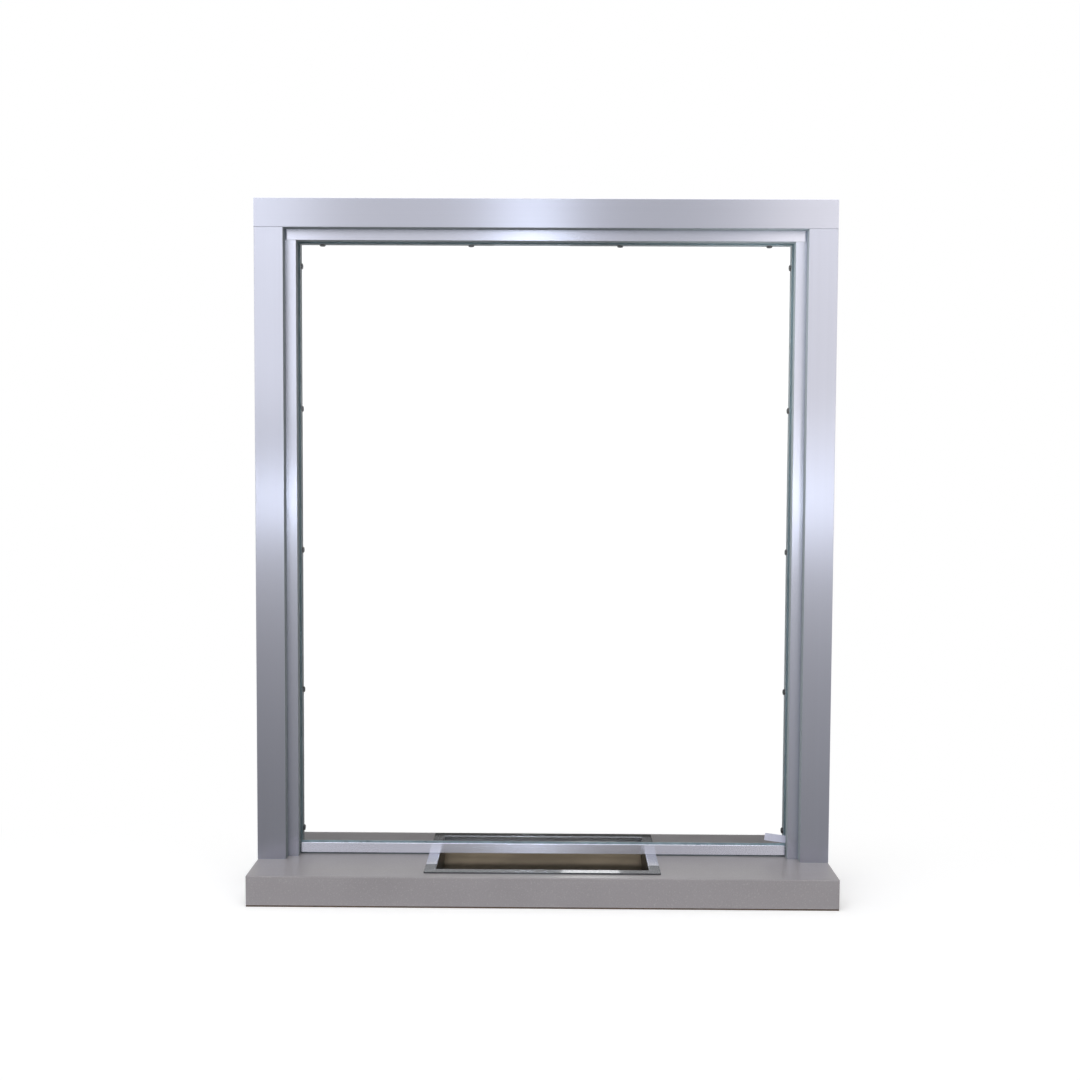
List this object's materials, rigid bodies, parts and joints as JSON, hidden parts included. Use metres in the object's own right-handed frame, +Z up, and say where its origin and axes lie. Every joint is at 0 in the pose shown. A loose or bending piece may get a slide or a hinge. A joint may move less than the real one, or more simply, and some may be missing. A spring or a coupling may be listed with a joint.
{
  "type": "night pay window",
  "caption": "Fixed service window for a shopfront: an aluminium frame holds thick glass above a counter, with a steel deal tray passing under the bottom rail.",
  "frame": {"origin": "centre of the bounding box in X and Y, at the underside of the counter", "axes": "+Z up, -Y towards the customer outside, +X to the right as the customer sees it"},
  "size_m": [0.762, 0.23, 0.914],
  "materials": {
    "anodised_aluminium": "clear anodised, satin",
    "security_glass": "clear with a faint green edge",
    "black_rubber": "matt",
    "stainless_steel": "brushed",
    "counter_surface": "honed, fine even grain",
    "plywood": "raw",
    "brown_backer": "matt"
  },
  "bodies": {
    "root": {"casing_head": "anodised_aluminium", "casing_jamb_left": "anodised_aluminium", "casing_jamb_right": "anodised_aluminium", "base_block_left": "anodised_aluminium", "base_block_right": "anodised_aluminium", "shear_block_left": "anodised_aluminium", "shear_block_right": "anodised_aluminium", "front_stop_head": "anodised_aluminium", "front_stop_left": "anodised_aluminium", "front_stop_right": "anodised_aluminium", "front_gasket_head": "black_rubber", "front_gasket_left": "black_rubber", "front_gasket_right": "black_rubber", "glass_pane": "security_glass", "rear_gasket_head": "black_rubber", "rear_gasket_left": "black_rubber", "rear_gasket_right": "black_rubber", "rear_stop_head": "anodised_aluminium", "rear_stop_left": "anodised_aluminium", "rear_stop_right": "anodised_aluminium", "bottom_rail": "anodised_aluminium", "rail_gasket": "black_rubber", "sill_seal_left": "black_rubber", "sill_seal_right": "black_rubber", "setting_block_left": "black_rubber", "setting_block_right": "black_rubber", "tray_flange": "stainless_steel", "tray_scoop": "stainless_steel", "tray_end_left": "stainless_steel", "tray_end_right": "stainless_steel", "counter_top": "counter_surface", "counter_core": "plywood", "counter_backer": "brown_backer"}
  },
  "joints": []
}
